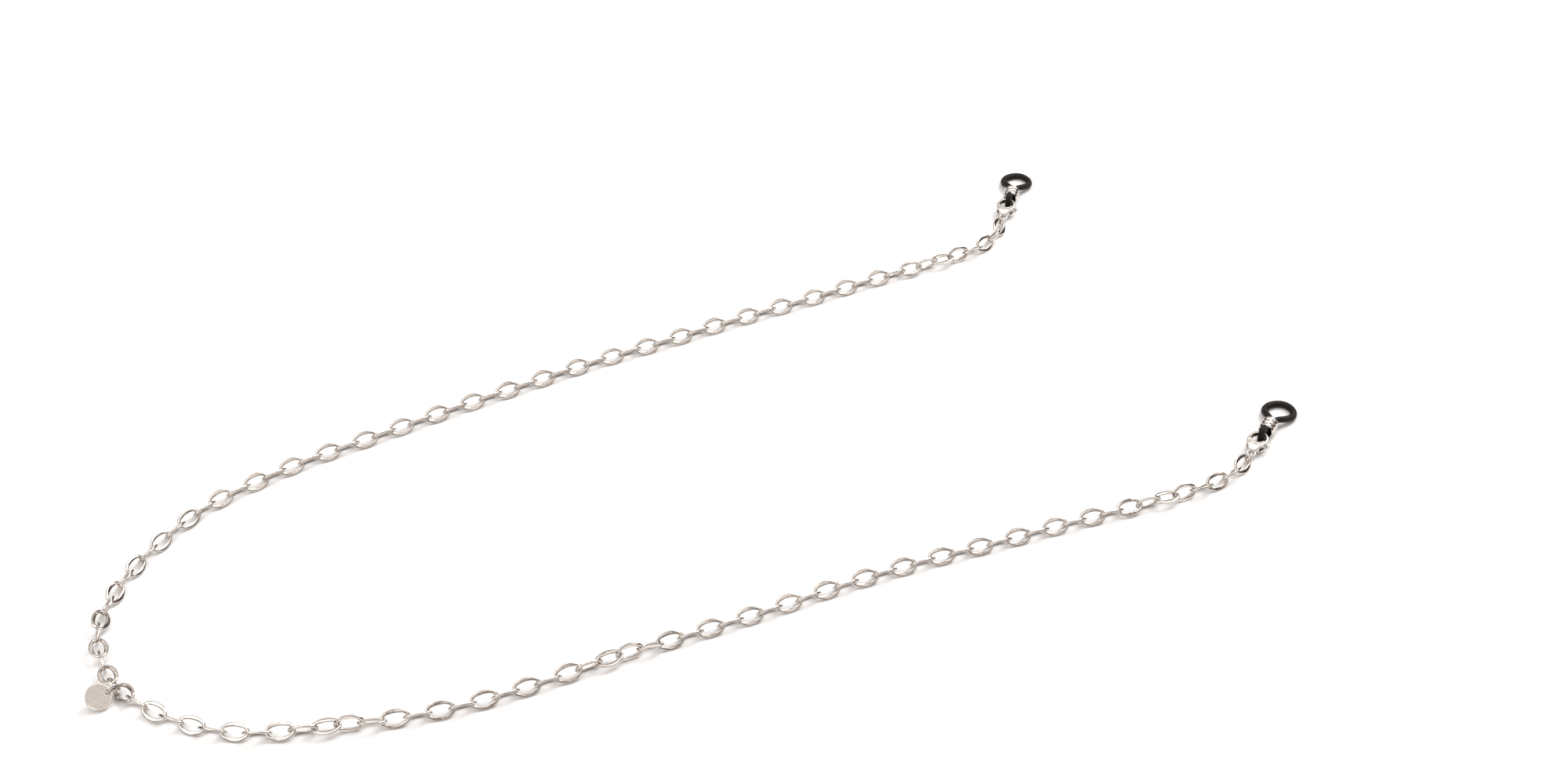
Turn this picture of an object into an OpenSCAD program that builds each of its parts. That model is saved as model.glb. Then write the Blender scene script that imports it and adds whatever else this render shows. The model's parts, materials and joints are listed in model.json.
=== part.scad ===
// Eyeglasses chain strap, laid out on a table. Millimetres, +Z up.
// Two arms of cable chain leave a middle ring, and each ends in a lobster clasp
// that holds a rubber loop with a ribbed slide bead for one temple of the glasses.

/* [Chain] */
// Length of a chain link, outside
link_length = 7.6; // [7.5:0.05:7.7]
// Width of a chain link, outside
link_width = 4.8; // [4.6:0.1:5]
// Thickness of the link wire
link_wire = 1.0; // [0.9:0.05:1]
// Spacing of the links along the chain
link_pitch = 5.5; // [5.4:0.05:5.5]

/* [Rings and tag] */
// Outside diameter of the middle ring
middle_ring_d = 5.0; // [4.9:0.05:5.1]
// Wire of the middle ring
middle_ring_wire = 0.9; // [0.8:0.05:0.9]
// Outside diameter of the ring that holds the tag
tag_ring_d = 4.0; // [3.9:0.05:4.1]
// Wire of the tag ring
tag_ring_wire = 0.8; // [0.7:0.05:0.8]
// Diameter of the tag
tag_d = 6.6; // [6.2:0.1:6.6]
// Thickness of the tag
tag_t = 0.9; // [0.7:0.05:0.9]

/* [Clasps] */
// Thickness of a clasp body
clasp_t = 2.6; // [2.5:0.05:2.7]
// Outside radius of the clasp's hook
hook_r = 2.9; // [2.85:0.05:2.95]
// Radius of the clasp's opening
opening_r = 1.9; // [1.85:0.05:1.95]
// Diameter of the rivet that the lever turns on
rivet_d = 0.8; // [0.7:0.05:0.8]

/* [Temple loops] */
// Rubber cord diameter in the wide part of a temple loop
cord_d = 2.0; // [1.9:0.05:2]
// Rubber cord diameter where the bead squeezes it
squeezed_d = 1.76; // [1.7:0.02:1.76]
// Outside diameter of a slide bead over its ribs
bead_d = 4.7; // [4.6:0.05:4.7]
// Length of a slide bead
bead_length = 4.8; // [4.6:0.05:4.8]

/* [Hidden] */

steel = "gainsboro";
nickel = "silver";
black = "dimgray";

// Links in each arm, and how many of them share one node
left_links = 62;
right_links = 58;
links_per_node = 3;

// Moves the layout so that the middle of its box is the origin
layout_shift = [15.42, 10.51];

// The arms' routes on the table, from the middle ring outwards
left_route = [[-165.2, -120.6], [-168, -115.8], [-171.2, -108], [-172.8, -101.5], [-172.8, -94],
    [-171, -84.5], [-167.5, -73.5], [-161.5, -62], [-154, -51], [-143.5, -41.5], [-130, -31],
    [-111.5, -19.5], [-92.5, -7.5], [-73, 4], [-54, 15], [-34.5, 25], [-15, 35.5], [5, 45.5],
    [24, 55.5], [43.5, 65], [54, 70.3], [60.8, 75.4], [65.4, 82], [67.8, 89.5], [69, 97]];
right_route = [[-163.4, -122], [-159.5, -126], [-152, -131.2], [-142, -135.6], [-131.5, -137.7],
    [-120.5, -137.4], [-107.5, -135.6], [-94, -133], [-78, -128.2], [-63, -121.7],
    [-43.2, -111.8], [-23.5, -102.5], [-4, -93.3], [15.5, -83.3], [36, -74.2], [56, -66.4],
    [76.5, -58.1], [97, -50.3], [108, -46], [117, -41], [124, -35], [128.5, -27.5], [131, -18]];

// Twists: the arm, the link in their middle, half the links that they take and their turn
twist_list = [["left", 57, 4, 90], ["right", 11.5, 3.4, 90], ["right", 24.5, 3.4, 90],
    ["right", 53, 3.4, 90]];
// Extra roll of the first link of each arm, fading out over some links, and the height
// at which the arm leaves the middle ring
left_start = [-54, 6, 2.6];
right_start = [-16, 4, 1.5];

// Heading of each end assembly, in degrees from +X
left_heading = 76;
right_heading = 62;

// ---- smooth routes ----
steps = 8;
function spline(p0, p1, p2, p3, t) = 0.5 * (2 * p1 + (p2 - p0) * t
    + (2 * p0 - 5 * p1 + 4 * p2 - p3) * t * t + (3 * p1 - p0 - 3 * p2 + p3) * t * t * t);
function clamp_index(pts, i) = pts[max(0, min(len(pts) - 1, i))];
function smooth_line(pts) = [for (i = [0 : len(pts) - 2], k = [0 : steps - 1])
    spline(clamp_index(pts, i - 1), pts[i], pts[i + 1], clamp_index(pts, i + 2), k / steps)];
function running_length(pts) = [for (i = 0, s = 0; i < len(pts);
    s = s + (i + 1 < len(pts) ? norm(pts[i + 1] - pts[i]) : 0), i = i + 1) s];
function column(keys, pts, c) = [for (i = [0 : len(pts) - 1]) [keys[i], pts[i][c]]];

left_line = smooth_line(left_route);
right_line = smooth_line(right_route);
left_keys = running_length(left_line);
right_keys = running_length(right_line);
left_x = column(left_keys, left_line, 0);
left_y = column(left_keys, left_line, 1);
right_x = column(right_keys, right_line, 0);
right_y = column(right_keys, right_line, 1);

// ---- chain layout ----
link_a = (link_length - link_wire) / 2;
link_b = (link_width - link_wire) / 2;
function arm_links(side) = side == "left" ? left_links : right_links;
function ease(x) = x <= 0 ? 0 : x >= 1 ? 1 : x * x * (3 - 2 * x);
// Share of a twist done at place i along the arm, and the twists' sum in degrees
function twist_share(tw, i) = ease((i - tw[1]) / (2 * tw[2]) + 0.5);
function twist_sum(side, i, k = 0) = k >= len(twist_list) ? 0
    : (twist_list[k][0] == side ? twist_list[k][3] * twist_share(twist_list[k], i) : 0)
    + twist_sum(side, i, k + 1);
function start_of(side) = side == "left" ? left_start : right_start;
function start_share(side, i) = start_of(side)[0] * (1 - ease((i - 1) / start_of(side)[1]));
function link_roll(side, i) = (i % 2 == 1 ? 45 : 135) - twist_sum(side, i) + start_share(side, i);
// Height at which link i just clears the table, and the chain's height at place i
function link_height(side, i) = link_b * abs(sin(link_roll(side, i))) + link_wire / 2;
function arm_z(side, i) = i == 0 ? start_of(side)[2]
    : max(link_height(side, i), link_height(side, min(i + 1, arm_links(side))));
// Where link i hands over to link i + 1
function arm_point(side, i) = let (s = link_pitch * i)
    [lookup(s, side == "left" ? left_x : right_x) + layout_shift[0],
     lookup(s, side == "left" ? left_y : right_y) + layout_shift[1],
     arm_z(side, i)];

// ---- general shapes ----
// Gap between two arcs of an oval's wire, and the solder bead over it
joint_gap = 0.05;
solder_share = 1.06;

// Places children with their +X along the line from p to q, rolled about it
module along(p, q, roll) {
    d = q - p;
    translate((p + q) / 2)
        rotate([0, -asin(d[2] / norm(d)), atan2(d[1], d[0])])
            rotate([roll, 0, 0]) children();
}

// An arc of round wire about the origin, from angle a0 to a1
module wire_arc(r, wire, a0, a1) {
    rotate([0, 0, a0]) rotate_extrude(angle = a1 - a0, $fn = 48)
        translate([r, 0]) circle(d = wire, $fn = 16);
}

// Closed oval of round wire in the XY plane: four arcs, joined by small beads of solder
module wire_oval(length, width, wire, end_r) {
    a = (length - wire) / 2;
    b = (width - wire) / 2;
    c = a - end_r;
    side_r = (c * c + b * b - end_r * end_r) / (2 * (b - end_r));
    half = asin(c / (side_r - end_r));
    end_cut = joint_gap / end_r * 57.3;
    side_cut = joint_gap / side_r * 57.3;
    for (turn = [0, 180]) rotate([0, 0, turn]) {
        translate([c, 0, 0]) wire_arc(end_r, wire, half - 90 + end_cut, 90 - half - end_cut);
        translate([0, b - side_r, 0])
            wire_arc(side_r, wire, 90 - half + side_cut, 90 + half - side_cut);
        for (way = [-1, 1])
            translate([c + end_r * sin(half), way * end_r * cos(half), 0])
                rotate([0, 90, -way * half]) sphere(d = wire * solder_share, $fn = 24);
    }
}

module wire_ring(outside, wire) {
    rotate_extrude($fn = 48) translate([(outside - wire) / 2, 0]) circle(d = wire, $fn = 16);
}

// ---- chain ----
link_end_r = 1.5;
module chain_link(side, i) {
    along(arm_point(side, i - 1), arm_point(side, i), link_roll(side, i))
        wire_oval(link_length, link_width, link_wire, link_end_r);
}

// Node n of an arm: the next links_per_node links, or what is left of them
module chain_part(side, n) {
    first = links_per_node * (n - 1) + 1;
    last = min(links_per_node * n, arm_links(side));
    color(steel) for (i = [first : last]) chain_link(side, i);
}

// ---- middle ring and tag ----
middle_at = [-164.3, -121.8, 2.35];
middle_tilt = [0, 59.5, 25.5];
tag_ring_at = [-164.35, -124.15, 3.55];
tag_ring_tilt = [0, 60.5, 147];
tag_at = [-167.15, -126.45, 2.9];
tag_tilt = [0, 45, -62];
tag_hole_d = 1.5;
tag_hole_off = 2.15;
tag_hole_turn = 97;
tag_bevel = 0.15;

module on_table() {
    translate([layout_shift[0], layout_shift[1], 0]) children();
}

module middle_ring() {
    color(steel) on_table() translate(middle_at) rotate(middle_tilt)
        wire_ring(middle_ring_d, middle_ring_wire);
}

module tag_ring() {
    color(steel) on_table() translate(tag_ring_at) rotate(tag_ring_tilt)
        wire_ring(tag_ring_d, tag_ring_wire);
}

module tag_disc() {
    color(nickel) on_table() translate(tag_at) rotate(tag_tilt) rotate([0, 0, tag_hole_turn])
        difference() {
            rotate_extrude($fn = 64) polygon([[0, -tag_t / 2], [tag_d / 2 - tag_bevel, -tag_t / 2],
                [tag_d / 2, tag_bevel - tag_t / 2], [tag_d / 2, tag_t / 2 - tag_bevel],
                [tag_d / 2 - tag_bevel, tag_t / 2], [0, tag_t / 2]]);
            translate([tag_hole_off, 0, -tag_t]) cylinder(d = tag_hole_d, h = 2 * tag_t, $fn = 32);
        }
}

// ---- end assemblies ----
// Each stands in a frame at the arm's last hand-over point, +X away from the chain
end_ring_length = 4.5;
end_ring_width = 3.4;
end_ring_wire = 0.7;
end_ring_end_r = 0.95;
end_ring_x = 1.3;
end_ring_z = 1.62;
end_ring_roll = -60;
eye_x = 3.3;
eye_z = 1.7;
clasp_pitch = 9;
eye_r = 1.1;
eye_wire = 0.6;
hook_x = 5.6;
hook_t = 1.7;
hook_from = -112;
hook_to = 78;
slot_t = 1.2;
shoulder_x = 4.7;
lever_t = 0.8;
lever_z = -0.1;
lever_gap = 0.06;
rivet_at = [3.3, 1.35];
rivet_gap = 0.05;
gate_from = 52;
gate_to = 116;
gate_reach = 3.3;
knob_at = [3.95, -3.35];
knob_d = 1.0;
spring_wire = 0.16;
spring_r = 0.62;
cord_y = -0.4;
bead_x = 12.7;
bead_axis_z = 2.36;
bead_bore_d = 3.72;
bead_core_d = 4.1;
rib_r = 0.8;

module end_frame(side) {
    p = arm_point(side, arm_links(side));
    translate([p[0], p[1], 0]) rotate([0, 0, side == "left" ? left_heading : right_heading])
        children();
}

// Frame of the clasp: origin in its eye, +X to the hook, +Y to the lever's side
module clasp_frame(side) {
    end_frame(side) translate([eye_x, 0, eye_z]) rotate([0, -clasp_pitch, 0]) children();
}

module end_ring(side) {
    color(steel) end_frame(side) translate([end_ring_x, 0, end_ring_z])
        rotate([end_ring_roll, 0, 0])
            wire_oval(end_ring_length, end_ring_width, end_ring_wire, end_ring_end_r);
}

module clasp_outline() {
    difference() {
        polygon([[0.9, -1], [0.9, 1], [3.3, 2.62], [4.2, 2.75], [shoulder_x, 2.76],
            [shoulder_x, -2.76], [4.2, -2.75], [3.3, -2.5]]);
        translate([hook_x, 0]) circle(r = opening_r, $fn = 48);
    }
}

module clasp_body(side) {
    color(nickel) clasp_frame(side) {
        difference() {
            union() {
                wire_ring(2 * eye_r + eye_wire, eye_wire);
                translate([0, 0, -clasp_t / 2]) linear_extrude(clasp_t) clasp_outline();
            }
            // Slot for the lever, open to the hook's opening and to the knob's side
            translate([1.9, -4, -slot_t / 2]) cube([4, 6.4, slot_t]);
            translate([3.9, 0, -slot_t / 2]) cube([2, 4, slot_t]);
            translate([rivet_at[0], rivet_at[1], -clasp_t])
                cylinder(d = rivet_d, h = 2 * clasp_t, $fn = 32);
        }
        // The hook's tip ends on an arc about the rivet, so the gate swings past it
        difference() {
            translate([hook_x, 0, 0]) rotate([0, 0, hook_from])
                rotate_extrude(angle = hook_to - hook_from, $fn = 48)
                    translate([opening_r, -hook_t / 2]) square([hook_r - opening_r, hook_t]);
            translate([rivet_at[0], rivet_at[1], -clasp_t])
                cylinder(r = gate_reach + lever_gap, h = 2 * clasp_t, $fn = 64);
        }
    }
}

module clasp_lever(side) {
    color(nickel) clasp_frame(side) difference() {
        union() {
            translate([0, 0, lever_z - lever_t / 2]) linear_extrude(lever_t) {
                translate(rivet_at) circle(r = 0.8, $fn = 32);
                polygon([[3.0, 0.9], [2.9, 1.9], [4.3, 2.6], [4.75, 2.1], [3.9, 0.9]]);
                polygon([[3.3, 0.6], [4.0, 1.0], [4.2, -3.2], [3.6, -3.2]]);
            }
            intersection() {
                translate([hook_x, 0, 0]) rotate([0, 0, gate_from])
                    rotate_extrude(angle = gate_to - gate_from, $fn = 48)
                        translate([opening_r + lever_gap, lever_z - lever_t / 2])
                            square([hook_r - opening_r - 2 * lever_gap, lever_t]);
                translate([rivet_at[0], rivet_at[1], -clasp_t])
                    cylinder(r = gate_reach, h = 2 * clasp_t, $fn = 64);
            }
            translate([knob_at[0], knob_at[1], -0.7]) cylinder(d = knob_d, h = 1.4, $fn = 32);
        }
        translate([rivet_at[0], rivet_at[1], -clasp_t])
            cylinder(d = rivet_d + 2 * rivet_gap, h = 2 * clasp_t, $fn = 32);
    }
}

module clasp_rivet(side) {
    color(steel) clasp_frame(side) translate([rivet_at[0], rivet_at[1], -clasp_t / 2])
        cylinder(d = rivet_d, h = clasp_t, $fn = 32);
}

// Hairpin spring round the rivet, beside the lever in the slot
module clasp_spring(side) {
    color(steel) clasp_frame(side)
        translate([rivet_at[0], rivet_at[1], slot_t / 2 - spring_wire]) {
            wire_arc(spring_r, spring_wire, -60, 200);
            rotate([0, 0, -60]) translate([spring_r, 0, 0]) rotate([90, 0, 0])
                cylinder(d = spring_wire, h = 1.9, $fn = 16);
            rotate([0, 0, 200]) translate([spring_r, 0, 0]) rotate([-90, 0, 0])
                cylinder(d = spring_wire, h = 0.9, $fn = 16);
        }
}

// Rubber loop: rows of [x, height of the middle, half spread, turn, cord diameter].
// One run follows the rows outwards and the other comes back opposite to it.
loop_rows = [[6.2, 2.7, 0, 90, 1.8], [6.3, 2.75, 1.1, 90, 1.8], [6.8, 2.88, 1.8, 90, 1.8],
    [7.6, 2.98, 2.07, 90, 1.8], [8.5, 2.97, 2, 90, 1.8], [9.25, 2.65, 1.4, 90, squeezed_d],
    [9.95, 2.37, 0.92, 90, squeezed_d],
    [11.5, 2.36, 0.9, 72, squeezed_d], [13, 2.36, 0.9, 46, squeezed_d],
    [14.5, 2.36, 0.9, 20, squeezed_d], [15.8, 2.36, 0.9, 4, squeezed_d],
    [17, 2.3, 1.15, 0, 1.8], [18.3, 2.05, 2.3, 0, 1.9], [20, 1.6, 3.5, 0, cord_d],
    [22, 1.2, 4.05, 0, cord_d], [24.2, 1.07, 3.5, 0, cord_d], [25.8, 1.02, 1.95, 0, cord_d],
    [26.4, 1.02, 0, 0, cord_d]];
cord_sides = 12;
function run_point(r, sign) = [r[0], sign * r[2] * cos(r[3]), r[1] + sign * r[2] * sin(r[3]), r[4]];
loop_points = concat([for (i = [0 : len(loop_rows) - 1]) run_point(loop_rows[i], 1)],
    [for (i = [len(loop_rows) - 2 : -1 : 1]) run_point(loop_rows[i], -1)]);
loop_n = len(loop_points);
function wrapped(pts, i) = pts[(i + len(pts)) % len(pts)];
loop_steps = 2;
loop_line = [for (i = [0 : loop_n - 1], k = [0 : loop_steps - 1])
    spline(wrapped(loop_points, i - 1), loop_points[i], wrapped(loop_points, i + 1),
        wrapped(loop_points, i + 2), k / loop_steps)];
function xyz(p) = [p[0], p[1], p[2]];
function unit(v) = v / norm(v);
function heading_at(pts, i) = unit(xyz(wrapped(pts, i + 1)) - xyz(wrapped(pts, i - 1)));
// A cross direction carried along the cord from ring to ring, so that it never flips
loop_cross = [for (i = 0, c = unit(cross(heading_at(loop_line, 0), [1, 0, 0]));
    i < len(loop_line); i = i + 1,
    c = let (h = heading_at(loop_line, i)) unit(c - (c * h) * h)) c];

module temple_loop(side) {
    n = len(loop_line);
    points = [for (i = [0 : n - 1], k = [0 : cord_sides - 1])
        let (h = heading_at(loop_line, i), u = loop_cross[i], v = cross(h, u), p = loop_line[i],
            turn = 360 * k / cord_sides)
        xyz(p) + p[3] / 2 * (cos(turn) * u + sin(turn) * v)];
    faces = [for (i = [0 : n - 1], k = [0 : cord_sides - 1])
        let (j = (i + 1) % n, m = (k + 1) % cord_sides)
        [i * cord_sides + k, j * cord_sides + k, j * cord_sides + m, i * cord_sides + m]];
    color(black) end_frame(side) translate([eye_x, cord_y, 0]) polyhedron(points, faces);
}

module slide_bead(side) {
    color(nickel) end_frame(side) translate([eye_x + bead_x, cord_y, bead_axis_z])
        rotate([0, 90, 0]) rotate_extrude($fn = 64) difference() {
            union() {
                translate([0, -bead_length / 2]) square([bead_core_d / 2, bead_length]);
                for (k = [-1 : 1]) translate([bead_d / 2 - rib_r, k * bead_length / 3])
                    circle(r = rib_r, $fn = 32);
            }
            translate([0, -bead_length]) square([bead_bore_d / 2, 2 * bead_length]);
        }
}

function two_digits(n) = n < 10 ? str("0", n) : str(n);

for (side = ["left", "right"], n = [1 : ceil(arm_links(side) / links_per_node)])
    chain_part(side, n);
middle_ring();
tag_ring();
tag_disc();
for (side = ["left", "right"]) {
    end_ring(side);
    clasp_body(side);
    clasp_lever(side);
    clasp_rivet(side);
    clasp_spring(side);
    temple_loop(side);
    slide_bead(side);
}
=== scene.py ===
"""Eyeglasses chain strap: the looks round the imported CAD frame. Metres, +Z up.

The chain's links, the rings, the tag, the clasps, the beads and the rubber loops are built
where the CAD pieces are, with the sections, edges and seams of the real ones.
"""

import json
import math
import random

import bmesh
import bpy
import numpy as np
from mathutils import Matrix, Vector

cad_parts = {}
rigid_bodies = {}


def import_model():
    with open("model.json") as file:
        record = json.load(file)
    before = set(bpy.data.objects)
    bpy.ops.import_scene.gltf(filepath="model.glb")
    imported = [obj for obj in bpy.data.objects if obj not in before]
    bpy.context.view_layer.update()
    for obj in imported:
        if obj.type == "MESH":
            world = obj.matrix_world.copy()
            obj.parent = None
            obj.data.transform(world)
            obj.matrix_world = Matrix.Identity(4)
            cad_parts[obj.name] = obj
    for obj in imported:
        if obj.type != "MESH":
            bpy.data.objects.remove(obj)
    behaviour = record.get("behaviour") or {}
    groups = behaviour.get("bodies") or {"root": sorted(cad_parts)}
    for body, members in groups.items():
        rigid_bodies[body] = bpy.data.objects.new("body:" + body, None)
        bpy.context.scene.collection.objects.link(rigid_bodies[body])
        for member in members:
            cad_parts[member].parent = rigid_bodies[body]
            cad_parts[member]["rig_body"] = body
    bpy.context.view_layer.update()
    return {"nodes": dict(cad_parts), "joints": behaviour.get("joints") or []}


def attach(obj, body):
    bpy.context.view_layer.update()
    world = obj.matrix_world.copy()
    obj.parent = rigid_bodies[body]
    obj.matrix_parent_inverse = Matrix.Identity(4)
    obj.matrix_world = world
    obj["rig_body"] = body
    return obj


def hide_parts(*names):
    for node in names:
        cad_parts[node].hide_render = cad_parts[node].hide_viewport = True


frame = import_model()

MM = 0.001
SIDES = ("left", "right")
random.seed(7)


# ---------------------------------------------------------------- camera, light, floor

# The camera looks down at the table from the front, in millimetres
CAMERA_TARGET = (15.42, 10.51, 1.84)
CAMERA_BACK = 584.5
CAMERA_UP = 432.4
CAMERA_LENS = 58.86


# Middle of the strap to each light, in metres; size in metres; power in watts
LIGHTS = {"key": ((0.9, 0.75, 1.35), (0.9, 0.9), 18.0),
          "fill": ((-0.9, -0.5, 1.1), (1.6, 1.3), 6.5),
          "top": ((0, 0, 1.6), (1.3, 1.3), 9.0)}

# Colour of the studio by height: dark low down, a pale band, dark again round the top light
STUDIO_STOPS = [
    (0.0, (0.07, 0.055, 0.05)), (0.22, (0.03, 0.022, 0.02)), (0.36, (0.08, 0.067, 0.062)),
    (0.49, (0.17, 0.15, 0.14)), (0.55, (0.66, 0.63, 0.60)), (0.78, (0.68, 0.65, 0.62)),
    (0.87, (0.12, 0.10, 0.09)), (1.0, (0.17, 0.15, 0.14))]
STUDIO_STRENGTH = 1.7
GAP_SCALE = 2.6
GAP_STOPS = [(0.0, (0.16, 0.13, 0.11)), (0.35, (0.16, 0.13, 0.11)), (0.42, (1, 1, 1)),
             (1.0, (1, 1, 1))]

FLOOR_HALF = 3.0
FLOOR_DROP = 0.00002
FLOOR_TONE = 0.93


def set_white_point():
    """Shows white as white, as in the photograph."""
    bpy.context.scene.view_settings.view_transform = "Standard"


def make_camera():
    """Looks down at the strap from the front, as in the photograph."""
    target = Vector(CAMERA_TARGET) * MM
    place = target + Vector((0, -CAMERA_BACK, CAMERA_UP)) * MM
    data = bpy.data.cameras.new("camera")
    data.lens = CAMERA_LENS
    data.sensor_width = 36
    data.clip_start = 0.01
    data.clip_end = 20
    camera = bpy.data.objects.new("camera", data)
    camera.location = place
    camera.rotation_euler = (target - place).to_track_quat("-Z", "Y").to_euler()
    bpy.context.scene.collection.objects.link(camera)
    bpy.context.scene.camera = camera


def area_light(name, place, aim, size, power):
    """A rectangular soft box that faces a point."""
    data = bpy.data.lights.new(name, "AREA")
    data.shape = "RECTANGLE"
    data.size, data.size_y = size
    data.energy = power
    light = bpy.data.objects.new(name, data)
    light.location = place
    light.rotation_euler = (Vector(aim) - Vector(place)).to_track_quat("-Z", "Y").to_euler()
    bpy.context.scene.collection.objects.link(light)


def make_world():
    """A pale tent with a few darker gaps, which polished metal needs to show its shape."""
    world = bpy.data.worlds.new("studio")
    bpy.context.scene.world = world
    world.use_nodes = True
    tree = world.node_tree
    background = tree.nodes["Background"]
    coordinate = tree.nodes.new("ShaderNodeTexCoord")
    split = tree.nodes.new("ShaderNodeSeparateXYZ")
    tree.links.new(coordinate.outputs["Generated"], split.inputs[0])
    height = tree.nodes.new("ShaderNodeValToRGB")
    ramp(height, STUDIO_STOPS)
    tree.links.new(split.outputs["Z"], height.inputs[0])
    gaps = tree.nodes.new("ShaderNodeTexNoise")
    gaps.inputs["Scale"].default_value = GAP_SCALE
    gaps.inputs["Detail"].default_value = 1.0
    tree.links.new(coordinate.outputs["Generated"], gaps.inputs["Vector"])
    gap_ramp = tree.nodes.new("ShaderNodeValToRGB")
    ramp(gap_ramp, GAP_STOPS)
    tree.links.new(gaps.outputs[0], gap_ramp.inputs[0])
    product = tree.nodes.new("ShaderNodeMix")
    product.data_type = "RGBA"
    product.blend_type = "MULTIPLY"
    product.inputs[0].default_value = 1.0
    tree.links.new(height.outputs[0], product.inputs[6])
    tree.links.new(gap_ramp.outputs[0], product.inputs[7])
    tree.links.new(product.outputs[2], background.inputs["Color"])
    background.inputs["Strength"].default_value = STUDIO_STRENGTH


def ramp(node, stops):
    """Sets a colour ramp's stops: (position, colour) or (position, value)."""
    elements = node.color_ramp.elements
    while len(elements) > 1:
        elements.remove(elements[-1])
    for n, (position, colour) in enumerate(stops):
        element = elements[0] if n == 0 else elements.new(position)
        element.position = position
        if isinstance(colour, (int, float)):
            colour = (colour, colour, colour)
        element.color = (*colour, 1)


def make_floor():
    """A plain pale table, a hair below the strap."""
    mesh = bpy.data.meshes.new("floor")
    half = FLOOR_HALF
    mesh.from_pydata([(-half, -half, 0), (half, -half, 0), (half, half, 0), (-half, half, 0)],
                     [], [(0, 1, 2, 3)])
    floor = bpy.data.objects.new("floor", mesh)
    floor.location.z = -FLOOR_DROP
    bpy.context.scene.collection.objects.link(floor)
    material = bpy.data.materials.new("floor_white")
    material.use_nodes = True
    shader = material.node_tree.nodes["Principled BSDF"]
    shader.inputs["Base Color"].default_value = (FLOOR_TONE, FLOOR_TONE, FLOOR_TONE, 1)
    shader.inputs["Roughness"].default_value = 0.9
    shader.inputs["Specular IOR Level"].default_value = 0.1
    floor.data.materials.append(material)


# ---------------------------------------------------------------- materials

# The metals' patterns: scales per metre, and the depth of the waves in metres
CLOUD_SCALE, PATCH_SCALE, WAVE_SCALE = 260.0, 900.0, 700.0
WAVE_DEPTH = 0.00004
# The rubber's patterns, in the same units
RUBBER_CLOUD, RUBBER_PATCH, RUBBER_SKIN = 420.0, 1600.0, 5200.0
SKIN_DEPTH = 0.00003


def noise_node(tree, coordinate, scale, detail=4.0):
    """Noise fixed to the object."""
    noise = tree.nodes.new("ShaderNodeTexNoise")
    noise.inputs["Scale"].default_value = scale
    noise.inputs["Detail"].default_value = detail
    tree.links.new(coordinate.outputs["Object"], noise.inputs["Vector"])
    return noise


def make_metal(name, light, dark, rough_low, rough_high, grain, depth):
    """Plated metal: cloudy tone, uneven polish and a fine grain, light and dark being colours."""
    material = bpy.data.materials.new(name)
    material.use_nodes = True
    tree = material.node_tree
    shader = tree.nodes["Principled BSDF"]
    shader.inputs["Metallic"].default_value = 1.0
    coordinate = tree.nodes.new("ShaderNodeTexCoord")
    cloud = noise_node(tree, coordinate, CLOUD_SCALE)
    tone = tree.nodes.new("ShaderNodeValToRGB")
    ramp(tone, [(0.30, dark), (0.62, light)])
    tree.links.new(cloud.outputs[0], tone.inputs[0])
    tree.links.new(tone.outputs[0], shader.inputs["Base Color"])
    patch = noise_node(tree, coordinate, PATCH_SCALE)
    polish = tree.nodes.new("ShaderNodeMapRange")
    polish.inputs["From Min"].default_value = 0.3
    polish.inputs["From Max"].default_value = 0.7
    polish.inputs["To Min"].default_value = rough_low
    polish.inputs["To Max"].default_value = rough_high
    tree.links.new(patch.outputs[0], polish.inputs["Value"])
    tree.links.new(polish.outputs[0], shader.inputs["Roughness"])
    fine = noise_node(tree, coordinate, grain, 6.0)
    wave = noise_node(tree, coordinate, WAVE_SCALE, 2.0)
    fine_bump = tree.nodes.new("ShaderNodeBump")
    fine_bump.inputs["Strength"].default_value = 0.35
    fine_bump.inputs["Distance"].default_value = depth
    wave_bump = tree.nodes.new("ShaderNodeBump")
    wave_bump.inputs["Strength"].default_value = 0.5
    wave_bump.inputs["Distance"].default_value = WAVE_DEPTH
    tree.links.new(fine.outputs[0], fine_bump.inputs["Height"])
    tree.links.new(wave.outputs[0], wave_bump.inputs["Height"])
    tree.links.new(wave_bump.outputs[0], fine_bump.inputs["Normal"])
    tree.links.new(fine_bump.outputs[0], shader.inputs["Normal"])
    return material


def make_rubber():
    """Matt black rubber with faint dust and a fine skin."""
    material = bpy.data.materials.new("black_rubber")
    material.use_nodes = True
    tree = material.node_tree
    shader = tree.nodes["Principled BSDF"]
    shader.inputs["Specular IOR Level"].default_value = 0.22
    coordinate = tree.nodes.new("ShaderNodeTexCoord")
    cloud = noise_node(tree, coordinate, RUBBER_CLOUD)
    tone = tree.nodes.new("ShaderNodeValToRGB")
    ramp(tone, [(0.30, (0.0065, 0.0050, 0.0042)), (0.72, (0.0135, 0.0108, 0.0092))])
    tree.links.new(cloud.outputs[0], tone.inputs[0])
    tree.links.new(tone.outputs[0], shader.inputs["Base Color"])
    patch = noise_node(tree, coordinate, RUBBER_PATCH)
    dull = tree.nodes.new("ShaderNodeMapRange")
    dull.inputs["To Min"].default_value = 0.42
    dull.inputs["To Max"].default_value = 0.66
    tree.links.new(patch.outputs[0], dull.inputs["Value"])
    tree.links.new(dull.outputs[0], shader.inputs["Roughness"])
    skin = noise_node(tree, coordinate, RUBBER_SKIN, 5.0)
    bump = tree.nodes.new("ShaderNodeBump")
    bump.inputs["Strength"].default_value = 0.5
    bump.inputs["Distance"].default_value = SKIN_DEPTH
    tree.links.new(skin.outputs[0], bump.inputs["Height"])
    tree.links.new(bump.outputs[0], shader.inputs["Normal"])
    return material


# ---------------------------------------------------------------- mesh helpers


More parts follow.
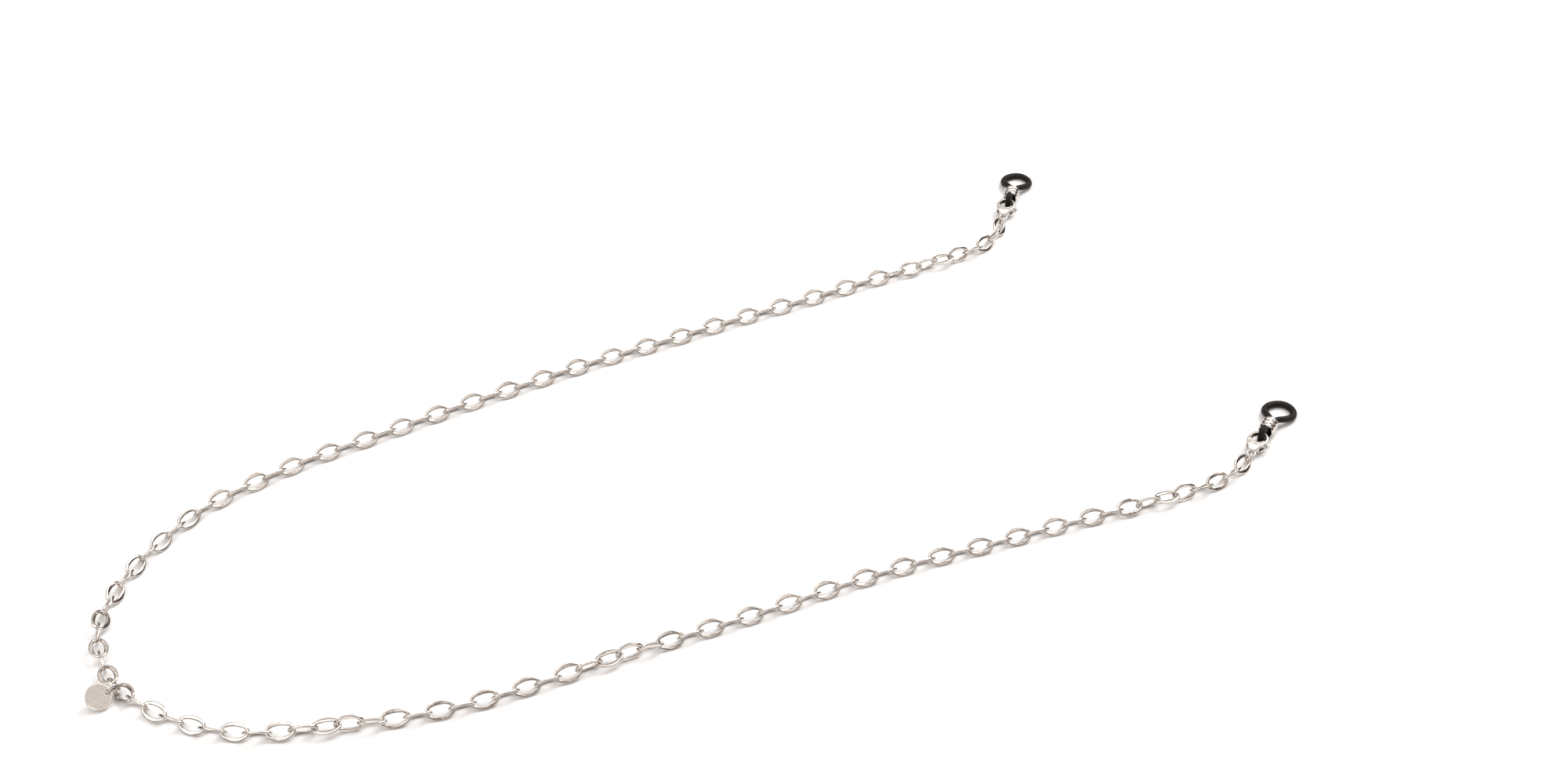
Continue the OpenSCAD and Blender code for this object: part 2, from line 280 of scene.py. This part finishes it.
def add_piece(name, vertices, faces, material, node, smooth_angle=None):
    """Makes a mesh piece in the part's frame that replaces a CAD node and rides on its body."""
    mesh = bpy.data.meshes.new(name)
    mesh.from_pydata([tuple(v) for v in vertices], [], faces)
    return finish_piece(name, mesh, material, node, smooth_angle)


def finish_piece(name, mesh, material, node, smooth_angle=None):
    """Adds a mesh as a piece: smooth all over, or with edges sharper than the angle crisp."""
    mesh.materials.clear()
    mesh.materials.append(material)
    if smooth_angle is None:
        mesh.shade_smooth()
    else:
        smooth_by_angle(mesh, smooth_angle)
    piece = bpy.data.objects.new(name, mesh)
    bpy.context.scene.collection.objects.link(piece)
    if smooth_angle is not None:
        keep_faces_flat(piece)
    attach(piece, frame["nodes"][node]["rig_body"])
    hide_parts(node)
    return piece


def keep_faces_flat(piece):
    """Lets the large faces set the shading normals, so that fillets don't darken them."""
    modifier = piece.modifiers.new("normals", "WEIGHTED_NORMAL")
    modifier.keep_sharp = True
    modifier.weight = 90
    bpy.context.view_layer.update()
    mesh = bpy.data.meshes.new_from_object(
        piece.evaluated_get(bpy.context.evaluated_depsgraph_get()))
    piece.modifiers.clear()
    piece.data = mesh


def smooth_by_angle(mesh, degrees):
    """Smooth shading, with every edge sharper than the angle left crisp."""
    work = bmesh.new()
    work.from_mesh(mesh)
    limit = math.radians(degrees)
    for face in work.faces:
        face.smooth = True
    for edge in work.edges:
        edge.smooth = len(edge.link_faces) == 2 and edge.calc_face_angle(0) < limit
    work.to_mesh(mesh)
    work.free()


def ring_faces(rings, sides, closed):
    """Quads between rings of vertices, and end caps where the tube is open."""
    faces = []
    for i in range(rings if closed else rings - 1):
        j = (i + 1) % rings
        for k in range(sides):
            m = (k + 1) % sides
            faces.append((i * sides + k, j * sides + k, j * sides + m, i * sides + m))
    if not closed:
        faces.append(tuple(reversed(range(sides))))
        faces.append(tuple(range((rings - 1) * sides, rings * sides)))
    return faces


def section(half_u, half_v, power, sides):
    """Points of a rounded rectangle (a superellipse) about the origin."""
    points = []
    for k in range(sides):
        a = 2 * math.pi * (k + 0.5) / sides
        c, s = math.cos(a), math.sin(a)
        points.append((half_u * math.copysign(abs(c) ** (2 / power), c),
                       half_v * math.copysign(abs(s) ** (2 / power), s)))
    return points


# ---------------------------------------------------------------- closed wire shapes

# All in millimetres
LINK_LENGTH, LINK_WIDTH, LINK_WIRE, LINK_END_R = 7.6, 4.8, 1.0, 1.5
END_RING = (4.5, 3.4, 0.7, 0.95)
ARC_STEPS = 14
LINK_SIDES = 16
LINK_TRIM = 0.015
SIDE_POWER, SIDE_SWELL = 4.2, 0.19
END_POWER, END_HALF_THICKNESS = 2.2, 0.40
LINK_SEAM, RING_SEAM = 0.07, 0.05
RING_STEPS, RING_SIDES = 72, 20
RING_TRIM = 0.005


def oval_route(length, width, wire, end_r, per_arc):
    """Centre line of a four-arc oval: (point, outward direction, share of being on a side)."""
    a, b = (length - wire) / 2, (width - wire) / 2
    c = a - end_r
    side_r = (c * c + b * b - end_r * end_r) / (2 * (b - end_r))
    half = math.asin(c / (side_r - end_r))
    route = []
    for turn in (0, math.pi):
        arcs = ((c, 0, end_r, half - math.pi / 2, math.pi / 2 - half, 0),
                (0, b - side_r, side_r, math.pi / 2 - half, math.pi / 2 + half, 1))
        for x, y, r, start, stop, on_side in arcs:
            for k in range(per_arc):
                share = k / per_arc
                angle = start + (stop - start) * share
                out = Vector((math.cos(angle), math.sin(angle), 0))
                point = Vector((x, y, 0)) + r * out
                spin = Matrix.Rotation(turn, 3, "Z")
                side_share = math.sin(math.pi * share) if on_side else 0
                route.append((spin @ point, spin @ out, side_share))
    return route


def wire_mesh(route, half_u, half_v, power, sides, swell=0.0, end_power=None, end_v=None):
    """A closed wire round a flat route. swell widens it in the middle of the long sides;
    end_power and end_v give the section at the ends, which blends into the sides' one."""
    end_power, end_v = end_power or power, end_v or half_v
    vertices = []
    for point, out, side_share in route:
        blend = side_share * side_share * (3 - 2 * side_share)
        grow = 1 + swell * side_share
        shape = end_power + (power - end_power) * blend
        deep = end_v + (half_v - end_v) * blend
        for u, v in section(half_u * grow, deep, shape, sides):
            vertices.append(point + out * u + Vector((0, 0, v)))
    return vertices, ring_faces(len(route), sides, True)


def add_seam(route, at, width):
    """Adds route points for a narrow seam across the wire and returns the seam's place."""
    point, out, side_share = route[at]
    following = route[(at + 1) % len(route)][0]
    along = (following - point).normalized()
    extra = [(point + along * width * s, out, side_share) for s in (-1.0, -0.4, 0.4, 1.0)]
    return route[:at] + extra + route[at + 1:], at


def sink_seam(vertices, route, seam, sides, share):
    """Draws the two rings in the middle of a seam in, to a share of their size."""
    for ring in (seam + 1, seam + 2):
        centre = route[ring][0]
        for k in range(ring * sides, (ring + 1) * sides):
            vertices[k] = centre + (vertices[k] - centre) * share


# ---------------------------------------------------------------- places from the CAD frame


def loose_parts(node):
    """The separate solids in a CAD node, as arrays of welded vertices."""
    mesh = frame["nodes"][node].data
    points = np.empty(len(mesh.vertices) * 3)
    mesh.vertices.foreach_get("co", points)
    points = points.reshape(-1, 3)
    edges = np.empty(len(mesh.edges) * 2, int)
    mesh.edges.foreach_get("vertices", edges)
    edges = edges.reshape(-1, 2)
    unique, place = np.unique(np.round(points, 7), axis=0, return_inverse=True)
    edges = place.reshape(-1)[edges]
    label = np.arange(len(unique))
    while True:
        low = np.minimum(label[edges[:, 0]], label[edges[:, 1]])
        new = label.copy()
        np.minimum.at(new, edges[:, 0], low)
        np.minimum.at(new, edges[:, 1], low)
        new = new[new]
        if (new == label).all():
            break
        label = new
    return [unique[label == part] for part in np.unique(label)]


def flat_frame(points):
    """Matrix of a flat symmetric piece: X along its length, Y across, Z through it."""
    middle = (points.max(0) + points.min(0)) / 2
    _, vectors = np.linalg.eigh(np.cov((points - points.mean(0)).T))
    x, z = Vector(vectors[:, 2]), Vector(vectors[:, 0])
    y = z.cross(x)
    local = (points - middle) @ np.array([x, y, z]).T
    middle = middle + np.array([x, y, z]).T @ ((local.max(0) + local.min(0)) / 2)
    spin = Matrix((x, y, z)).transposed().to_4x4()
    return Matrix.Translation(middle) @ spin


def joint(name):
    return next(j for j in frame["joints"] if j["name"] == name)


# Places in a clasp's own frame, in millimetres: its eye is the origin
RIVET_AT = Vector((3.3, 1.35, 0))
EYE_HEIGHT = 1.7
CORD_ASIDE = -0.4


def end_frames(side):
    """(matrix of the clasp, matrix of the loop and bead), both with millimetres as units."""
    x = Vector(joint(side + "_bead_slide")["axis"]).normalized()
    y = Vector((0, 0, 1)).cross(x)
    lever = joint(side + "_lever_open")
    z = -Vector(lever["axis"]).normalized()
    tilted_x = y.cross(z)
    spin = Matrix((tilted_x, y, z)).transposed()
    eye = Vector(lever["pos_m"]) - spin @ RIVET_AT * MM
    clasp = Matrix.Translation(eye) @ spin.to_4x4() @ Matrix.Scale(MM, 4)
    flat = Matrix((x, y, Vector((0, 0, 1)))).transposed().to_4x4()
    base = Vector((eye.x, eye.y, 0)) + y * CORD_ASIDE * MM
    return clasp, Matrix.Translation(base) @ flat @ Matrix.Scale(MM, 4)


# ---------------------------------------------------------------- chain, rings, tag


def transformed(vertices, matrix):
    return [matrix @ Vector(v) for v in vertices]


def make_chain_node(node, metal):
    """The links of one chain node: flattened wire, wider at the sides, each with its seam."""
    vertices, faces = [], []
    for part in loose_parts(node):
        route = oval_route(LINK_LENGTH, LINK_WIDTH, LINK_WIRE, LINK_END_R, ARC_STEPS)
        seam_side = random.choice((0, 1))
        middle_of_side = ARC_STEPS + ARC_STEPS // 2 + seam_side * 2 * ARC_STEPS
        route, seam = add_seam(route, middle_of_side, LINK_SEAM)
        wide = random.uniform(0.495, 0.505)
        flat = random.uniform(0.28, 0.31)
        link, link_faces = wire_mesh(route, wide - LINK_TRIM, flat, SIDE_POWER, LINK_SIDES,
                                     SIDE_SWELL, END_POWER, END_HALF_THICKNESS)
        sink_seam(link, route, seam, LINK_SIDES, 0.98)
        base = len(vertices)
        vertices += transformed(link, flat_frame(part) @ Matrix.Scale(MM, 4))
        faces += [tuple(base + i for i in face) for face in link_faces]
    return add_piece(node + "_links", vertices, faces, metal, node)


def make_oval_ring(node, metal):
    """The plain round-wire ring between the last link and the clasp."""
    length, width, wire, end_r = END_RING
    route = oval_route(length, width, wire, end_r, 16)
    half = wire / 2 - 2 * RING_TRIM
    vertices, faces = wire_mesh(route, half, half, 2.0, RING_SIDES)
    place = flat_frame(loose_parts(node)[0]) @ Matrix.Scale(MM, 4)
    return add_piece(node + "_wire", transformed(vertices, place), faces, metal, node)


def make_round_ring(node, outside, wire, seam_angle, metal):
    """A jump ring, with the fine groove where its ends meet."""
    r = (outside - wire) / 2
    route = []
    for k in range(RING_STEPS):
        a = 2 * math.pi * k / RING_STEPS + seam_angle
        out = Vector((math.cos(a), math.sin(a), 0))
        route.append((out * r, out, 0))
    route, seam = add_seam(route, 0, RING_SEAM)
    half = wire / 2 - RING_TRIM
    vertices, faces = wire_mesh(route, half, half, 2.2, RING_SIDES)
    sink_seam(vertices, route, seam, RING_SIDES, 0.86)
    place = flat_frame(loose_parts(node)[0]) @ Matrix.Scale(MM, 4)
    return add_piece(node + "_wire", transformed(vertices, place), faces, metal, node)


TAG_R, TAG_T = 3.3, 0.9
TAG_HOLE_R, TAG_HOLE_OFF = 0.75, 2.15


def make_tag(metal):
    """A coin-like tag with a narrow raised rim, blank faces and a chamfered hole."""
    node = "tag_disc"
    place = tag_frame(node)
    rim_top = TAG_T / 2
    face_z = rim_top - 0.07
    rows = [(1, TAG_HOLE_R, 0), (1, TAG_HOLE_R, face_z - 0.10), (1, TAG_HOLE_R + 0.03, face_z - 0.03),
            (1, TAG_HOLE_R + 0.09, face_z), (1, TAG_HOLE_R + 0.10, face_z), (0.5, 1.75, face_z),
            (0, TAG_R - 0.30, face_z), (0, TAG_R - 0.29, face_z),
            (0, TAG_R - 0.28, face_z + 0.015), (0, TAG_R - 0.26, rim_top - 0.015),
            (0, TAG_R - 0.23, rim_top), (0, TAG_R - 0.13, rim_top), (0, TAG_R - 0.06, rim_top - 0.03),
            (0, TAG_R - 0.01, rim_top - 0.10), (0, TAG_R, rim_top - 0.18), (0, TAG_R, 0)]
    steps = 96
    loops = rows + [(off, r, -z) for off, r, z in reversed(rows[1:-1])]
    vertices = []
    for off, r, z in loops:
        for k in range(steps):
            a = 2 * math.pi * k / steps
            vertices.append((off * TAG_HOLE_OFF + r * math.cos(a), r * math.sin(a), z))
    faces = ring_faces(len(loops), steps, True)
    return add_piece("tag_blank", transformed(vertices, place), faces, metal, node, 50)


def tag_frame(node):
    """The tag's frame: Z through the disc, +X from its middle to its hole."""
    points = loose_parts(node)[0]
    place = flat_frame(points)
    local = np.array([place.inverted() @ Vector(p) for p in points])
    radius = np.hypot(local[:, 0], local[:, 1])
    hole = local[radius < (TAG_R - 0.4) * MM]
    angle = math.atan2(hole[:, 1].mean(), hole[:, 0].mean())
    return place @ Matrix.Rotation(angle, 4, "Z") @ Matrix.Scale(MM, 4)


# ---------------------------------------------------------------- clasps


def arc(x, y, r, start, stop, steps):
    """Points of an arc in degrees, both ends among them."""
    angles = [math.radians(start + (stop - start) * k / steps) for k in range(steps + 1)]
    return [(x + r * math.cos(a), y + r * math.sin(a)) for a in angles]


def rounded_plate(outline, low, high, fillet, steps=4):
    """A plate with rounded edges, from a closed outline that runs anticlockwise."""
    n = len(outline)
    normals = []
    for i in range(n):
        before, here, after = (Vector(outline[j % n]) for j in (i - 1, i, i + 1))
        one, two = (here - before).normalized(), (after - here).normalized()
        out_one, out_two = Vector((one.y, -one.x)), Vector((two.y, -two.x))
        mitre = (out_one + out_two).normalized()
        normals.append(mitre / max(0.6, mitre.dot(out_one)))
    levels = []
    for k in range(steps + 1):
        a = math.pi / 2 * k / steps
        levels.append((fillet * (1 - math.sin(a)), low + fillet * (1 - math.cos(a))))
    levels += [(inset, low + high - z) for inset, z in reversed(levels)]
    vertices = []
    for inset, z in levels:
        for point, normal in zip(outline, normals):
            flat = Vector(point) - normal * inset
            vertices.append((flat.x, flat.y, z))
    faces = [tuple(reversed(face)) for face in ring_faces(len(levels), n, False)]
    mesh = bpy.data.meshes.new("plate")
    mesh.from_pydata(vertices, [], faces)
    outward(mesh)
    return mesh


def outward(mesh):
    """Turns every face outwards."""
    work = bmesh.new()
    work.from_mesh(mesh)
    bmesh.ops.recalc_face_normals(work, faces=work.faces)
    work.to_mesh(mesh)
    work.free()


def lathe(profile, steps):
    """A closed solid of revolution about Z from (radius, height) points, rising."""
    vertices = []
    for r, z in profile:
        vertices += [(r * math.cos(2 * math.pi * k / steps), r * math.sin(2 * math.pi * k / steps), z)
                     for k in range(steps)]
    faces = ring_faces(len(profile), steps, False)
    mesh = bpy.data.meshes.new("lathe")
    mesh.from_pydata(vertices, [], faces)
    outward(mesh)
    return mesh


def box_mesh(low, high):
    mesh = bpy.data.meshes.new("box")
    corners = [(x, y, z) for x in (low[0], high[0]) for y in (low[1], high[1])
               for z in (low[2], high[2])]
    mesh.from_pydata(corners, [], [(0, 1, 3, 2), (4, 6, 7, 5), (0, 4, 5, 1), (2, 3, 7, 6),
                                   (0, 2, 6, 4), (1, 5, 7, 3)])
    outward(mesh)
    return mesh


def combine(base, others):
    """Joins or cuts solids: others is a list of (operation, mesh)."""
    body = bpy.data.objects.new("work", base)
    bpy.context.scene.collection.objects.link(body)
    for operation, mesh in others:
        tool = bpy.data.objects.new("tool", mesh)
        bpy.context.scene.collection.objects.link(tool)
        modifier = body.modifiers.new("boolean", "BOOLEAN")
        modifier.operation = operation
        modifier.solver = "EXACT"
        modifier.object = tool
        bpy.context.view_layer.update()
        result = bpy.data.meshes.new_from_object(
            body.evaluated_get(bpy.context.evaluated_depsgraph_get()))
        body.modifiers.clear()
        body.data = result
        bpy.data.objects.remove(tool)
    mesh = body.data
    bpy.data.objects.remove(body)
    return mesh


# The clasp, in millimetres and in its own frame
HOOK_X, HOOK_R, OPENING_R = 5.6, 2.9, 1.9
BODY_T, SLOT_T = 2.6, 1.2
EYE_R, EYE_WIRE = 1.1, 0.6
GATE_REACH = 3.3
BODY_FILLET, GATE_FILLET, TONGUE_FILLET = 0.28, 0.14, 0.08
BORE_R, LEVER_BORE_R = 0.41, 0.45
NECK_START, NECK_LENGTH, NECK_SHARE = 0.9, 1.8, 0.30
TIP_START, TIP_LENGTH = 0.955, 0.045
KNOB_AT = Vector((3.95, -3.35, 0))
CRISP_EDGE = 32


def hook_mesh():
    """The hook: an arc of rounded section that thins towards its tip."""
    start, stop, steps, sides = -112, 63, 40, 20
    vertices = []
    for k in range(steps + 1):
        share = k / steps
        a = math.radians(start + (stop - start) * share)
        out = Vector((math.cos(a), math.sin(a), 0))
        thin = 1 - 0.10 * share
        tip = math.sqrt(max(0.0, 1 - max(0.0, (share - TIP_START) / TIP_LENGTH) ** 2 * 0.75))
        middle = (HOOK_R + OPENING_R) / 2
        half_u = (HOOK_R - OPENING_R) / 2 * (1 - 0.05 * share) * tip
        half_v = 0.85 * thin * tip
        for u, v in section(half_u, half_v, 2.9, sides):
            vertices.append(Vector((HOOK_X, 0, 0)) + out * (middle + u) + Vector((0, 0, v)))
    mesh = bpy.data.meshes.new("hook")
    mesh.from_pydata(vertices, [], ring_faces(steps + 1, sides, False))
    outward(mesh)
    return mesh


def eye_mesh():
    """The eye: a ring a little thicker than it is wide."""
    steps, sides = 56, 20
    vertices = []
    for k in range(steps):
        a = 2 * math.pi * k / steps
        out = Vector((math.cos(a), math.sin(a), 0))
        for u, v in section(EYE_WIRE / 2, 0.30, 2.4, sides):
            vertices.append(out * (EYE_R + u) + Vector((0, 0, v)))
    mesh = bpy.data.meshes.new("eye")
    mesh.from_pydata(vertices, [], ring_faces(steps, sides, True))
    outward(mesh)
    return mesh


def neck_down(mesh):
    """Thins the body towards the eye."""
    work = bmesh.new()
    work.from_mesh(mesh)
    for n in range(1, 9):
        geometry = list(work.verts) + list(work.edges) + list(work.faces)
        bmesh.ops.bisect_plane(work, geom=geometry, plane_co=(NECK_START + 0.22 * n, 0, 0),
                               plane_no=(1, 0, 0), dist=1e-5)
    for vertex in work.verts:
        share = min(1.0, max(0.0, (vertex.co.x - NECK_START) / NECK_LENGTH))
        vertex.co.z *= NECK_SHARE + (1 - NECK_SHARE) * math.sin(share * math.pi / 2)
    work.to_mesh(mesh)
    work.free()


def make_clasp_body(side, place, metal):
    """A cast wedge with its slot and bore, joined to the hook and the eye."""
    node = side + "_clasp_body"
    shoulder = math.degrees(math.acos((4.7 - HOOK_X) / OPENING_R))
    outline = [(0.95, 0.75), (0.95, -0.75), (1.15, -1.05), (2.2, -1.85), (3.0, -2.4), (3.35, -2.55),
               (3.8, -2.68), (4.3, -2.74), (4.68, -2.74)]
    outline += arc(HOOK_X, 0, OPENING_R, 360 - shoulder, shoulder, 26)
    outline += [(4.68, 2.74), (4.3, 2.74), (3.8, 2.7), (3.35, 2.6), (3.0, 2.42), (2.2, 1.86),
                (1.15, 1.05)]
    plate = rounded_plate(outline, -BODY_T / 2, BODY_T / 2, BODY_FILLET)
    neck_down(plate)
    slot = box_mesh((1.9, -4, -SLOT_T / 2), (5.9, 2.4, SLOT_T / 2))
    slot_end = box_mesh((3.9, 0, -SLOT_T / 2), (5.9, 4, SLOT_T / 2))
    bore = lathe([(BORE_R, -2.0), (BORE_R, 2.0)], 40)
    mesh = combine(plate, [("DIFFERENCE", slot), ("DIFFERENCE", slot_end), ("UNION", hook_mesh()),
                           ("UNION", eye_mesh()), ("DIFFERENCE", moved(bore, RIVET_AT))])
    mesh.transform(place)
    return finish_piece(node + "_cast", mesh, metal, node, CRISP_EDGE)


def moved(mesh, offset):
    """The same mesh, shifted."""
    mesh.transform(Matrix.Translation(offset))
    return mesh


def make_lever(side, place, metal):
    """Tongue in the slot, a thicker gate across the opening, and the thumb knob."""
    node = side + "_clasp_lever"
    tongue = [(3.0, 0.9), (3.35, 0.62), (3.62, -3.0), (3.75, -3.2), (4.1, -3.2), (4.2, -3.0),
              (4.02, 0.9), (4.8, 1.9)]
    tongue += [(4.72, 2.35), (4.3, 2.55), (3.3, 2.12), (2.75, 1.8), (2.6, 1.35), (2.75, 1.05)]
    plate = rounded_plate(tongue, -0.5, 0.3, TONGUE_FILLET, 2)
    gate_outline = [p for p in arc(HOOK_X, 0, 2.82, 52, 112, 14) if reach(p) < GATE_REACH]
    gate_outline += [p for p in reversed(arc(HOOK_X, 0, 1.98, 52, 118, 14)) if reach(p) < GATE_REACH]
    gate = rounded_plate([p for p in gate_outline if p[0] > 4.78], -0.72, 0.72, GATE_FILLET, 3)
    knob = lathe([(0.10, -0.70), (0.30, -0.66), (0.43, -0.52), (0.49, -0.30), (0.50, 0.0),
                  (0.49, 0.30), (0.43, 0.52), (0.30, 0.66), (0.10, 0.70)], 28)
    bore = lathe([(LEVER_BORE_R, -2.0), (LEVER_BORE_R, 2.0)], 40)
    mesh = combine(plate, [("UNION", gate), ("UNION", moved(knob, KNOB_AT)),
                           ("DIFFERENCE", moved(bore, RIVET_AT))])
    mesh.transform(place)
    return finish_piece(node + "_cast", mesh, metal, node, CRISP_EDGE)


def reach(point):
    """Distance from the rivet."""
    return math.dist(point, RIVET_AT[:2])


def make_rivet(side, place, metal):
    """A pin with slightly domed ends."""
    node = side + "_clasp_rivet"
    half = BODY_T / 2
    mesh = lathe([(0.12, -half - 0.05), (0.28, -half - 0.03), (0.37, -half + 0.02), (0.40, -half + 0.09),
                  (0.40, half - 0.09), (0.37, half - 0.02), (0.28, half + 0.03), (0.12, half + 0.05)], 32)
    moved(mesh, RIVET_AT)
    mesh.transform(place)
    return finish_piece(node + "_pin", mesh, metal, node, 50)


# ---------------------------------------------------------------- beads and rubber loops

# The bead, in millimetres: its place along the loop, its bore, and its ribs
BEAD_X, BEAD_Z, BEAD_LENGTH = 12.7, 2.36, 4.8
BEAD_BORE_R, BEAD_LIP_R = 1.86, 1.88
RIB_OUT, RIB_RISE, RIB_HALF = 2.35, 0.62, 0.78
BEAD_STEPS = 96


def make_bead(side, place, metal):
    """Three rounded ribs with deep grooves between them, and rolled lips round the bore."""
    node = side + "_slide_bead"
    pitch = BEAD_LENGTH / 3
    profile = [(BEAD_LIP_R, -BEAD_LENGTH / 2 + 0.10)]
    for n in (-1, 0, 1):
        start = -100 if n > -1 else -150
        stop = 100 if n < 1 else 150
        for k in range(13):
            a = math.radians(start + (stop - start) * k / 12)
            r = RIB_OUT - RIB_RISE + RIB_RISE * math.cos(a)
            z = n * pitch + RIB_HALF * math.sin(a)
            profile.append((max(r, BEAD_LIP_R), z))
    profile.append((BEAD_LIP_R, BEAD_LENGTH / 2 - 0.10))
    profile = [p for n, p in enumerate(profile) if n == 0 or math.dist(p, profile[n - 1]) > 0.01]
    inner = [(BEAD_BORE_R, z) for z in (1.9, 0.95, 0.0, -0.95, -1.9)]
    loops = profile + inner
    vertices = []
    for r, z in loops:
        for k in range(BEAD_STEPS):
            a = 2 * math.pi * k / BEAD_STEPS
            vertices.append((z, r * math.cos(a), r * math.sin(a)))
    mesh = bpy.data.meshes.new("bead")
    mesh.from_pydata(vertices, [], ring_faces(len(loops), BEAD_STEPS, True))
    outward(mesh)
    mesh.transform(place @ Matrix.Translation((BEAD_X, 0, BEAD_Z)))
    return finish_piece(node + "_ribs", mesh, metal, node, 60)


# Rubber loop rows: x, height of the middle, half spread, turn in degrees, cord diameter.
# One run follows the rows outwards and the other comes back opposite to it.
LOOP_ROWS = [
    (6.2, 2.7, 0, 90, 1.8), (6.3, 2.75, 1.1, 90, 1.8), (6.8, 2.88, 1.8, 90, 1.8),
    (7.6, 2.98, 2.07, 90, 1.8), (8.5, 2.97, 2, 90, 1.8), (9.25, 2.65, 1.4, 90, 1.76),
    (9.95, 2.37, 0.92, 90, 1.76), (11.5, 2.36, 0.9, 72, 1.76), (13, 2.36, 0.9, 46, 1.76),
    (14.5, 2.36, 0.9, 20, 1.76), (15.8, 2.36, 0.9, 4, 1.76), (17, 2.3, 1.15, 0, 1.8),
    (18.3, 2.05, 2.3, 0, 1.9), (20, 1.6, 3.5, 0, 2.0), (22, 1.2, 4.05, 0, 2.0),
    (24.2, 1.07, 3.5, 0, 2.0), (25.8, 1.02, 1.95, 0, 2.0), (26.4, 1.02, 0, 0, 2.0)]
CORD_STEPS, CORD_SIDES = 6, 28
CORD_SHARE, MOULD_LINE_SHARE = 0.96, 0.985


def run_point(row, sign):
    """A point of the loop on one run (sign 1) or the other (-1), with its cord diameter."""
    x, height, spread, turn, diameter = row
    turn = math.radians(turn)
    return np.array((x, sign * spread * math.cos(turn), height + sign * spread * math.sin(turn),
                     diameter))


def smooth_loop(points, steps):
    """A closed Catmull-Rom curve through the points."""
    n = len(points)
    curve = []
    for i in range(n):
        p0, p1, p2, p3 = (points[(i + k) % n] for k in (-1, 0, 1, 2))
        for k in range(steps):
            t = k / steps
            curve.append(0.5 * (2 * p1 + (p2 - p0) * t + (2 * p0 - 5 * p1 + 4 * p2 - p3) * t * t
                                + (3 * p1 - p0 - 3 * p2 + p3) * t ** 3))
    return curve


def make_loop(side, place, rubber):
    """The closed rubber cord, with a faint mould line on both sides."""
    node = side + "_temple_loop"
    rows = [run_point(row, 1) for row in LOOP_ROWS]
    rows += [run_point(row, -1) for row in LOOP_ROWS[-2:0:-1]]
    curve = smooth_loop(rows, CORD_STEPS)
    n, sides = len(curve), CORD_SIDES
    headings = [(curve[(i + 1) % n] - curve[i - 1])[:3] for i in range(n)]
    headings = [h / np.linalg.norm(h) for h in headings]
    across = np.cross(headings[0], (1, 0, 0))
    crosses = []
    for h in headings:
        across = across - across.dot(h) * h
        across = across / np.linalg.norm(across)
        crosses.append(across)
    vertices = []
    for p, h, u in zip(curve, headings, crosses):
        v = np.cross(h, u)
        for k in range(sides):
            a = 2 * math.pi * k / sides
            share = MOULD_LINE_SHARE if k in (0, sides // 2) else CORD_SHARE
            r = p[3] / 2 * share
            vertices.append(tuple(p[:3] + r * (math.cos(a) * u + math.sin(a) * v)))
    mesh = bpy.data.meshes.new("loop")
    mesh.from_pydata(vertices, [], ring_faces(n, sides, True))
    outward(mesh)
    mesh.transform(place)
    return finish_piece(node + "_cord", mesh, rubber, node)


# ---------------------------------------------------------------- the whole strap


def main():
    """Builds the studio, then every piece in the place of its CAD node."""
    set_white_point()
    make_camera()
    make_world()
    make_floor()
    middle = Vector(CAMERA_TARGET) * MM
    for name, (offset, size, power) in LIGHTS.items():
        area_light(name, middle + Vector(offset), middle, size, power)

    polished = make_metal("polished_nickel", (0.70, 0.655, 0.615), (0.55, 0.51, 0.475),
                          0.07, 0.17, 9000.0, 0.000006)
    satin = make_metal("satin_nickel", (0.68, 0.64, 0.60), (0.59, 0.55, 0.515),
                       0.20, 0.32, 14000.0, 0.000012)
    # The tag is the same satin nickel as the clasps, given a paler colour: painted light for the light
    # that its face catches.
    tag_painted_light_metal = make_metal("tag_nickel_painted_light", (0.86, 0.81, 0.77), (0.79, 0.74, 0.70),
                          0.20, 0.32, 14000.0, 0.000012)
    steel = make_metal("spring_steel", (0.55, 0.53, 0.51), (0.40, 0.38, 0.36),
                       0.22, 0.34, 9000.0, 0.00001)
    rubber = make_rubber()

    for node in sorted(frame["nodes"]):
        if "_chain_" in node:
            make_chain_node(node, polished)
    make_round_ring("middle_ring", 5.0, 0.9, 2.1, polished)
    make_round_ring("tag_ring", 4.0, 0.8, 0.6, polished)
    make_tag(tag_painted_light_metal)
    for side in SIDES:
        clasp, flat = end_frames(side)
        make_oval_ring(side + "_end_ring", polished)
        make_clasp_body(side, clasp, satin)
        make_lever(side, clasp, satin)
        make_rivet(side, clasp, steel)
        make_bead(side, flat, polished)
        make_loop(side, flat, rubber)
        spring = frame["nodes"][side + "_clasp_spring"]
        spring.data.materials.clear()
        spring.data.materials.append(steel)


main()
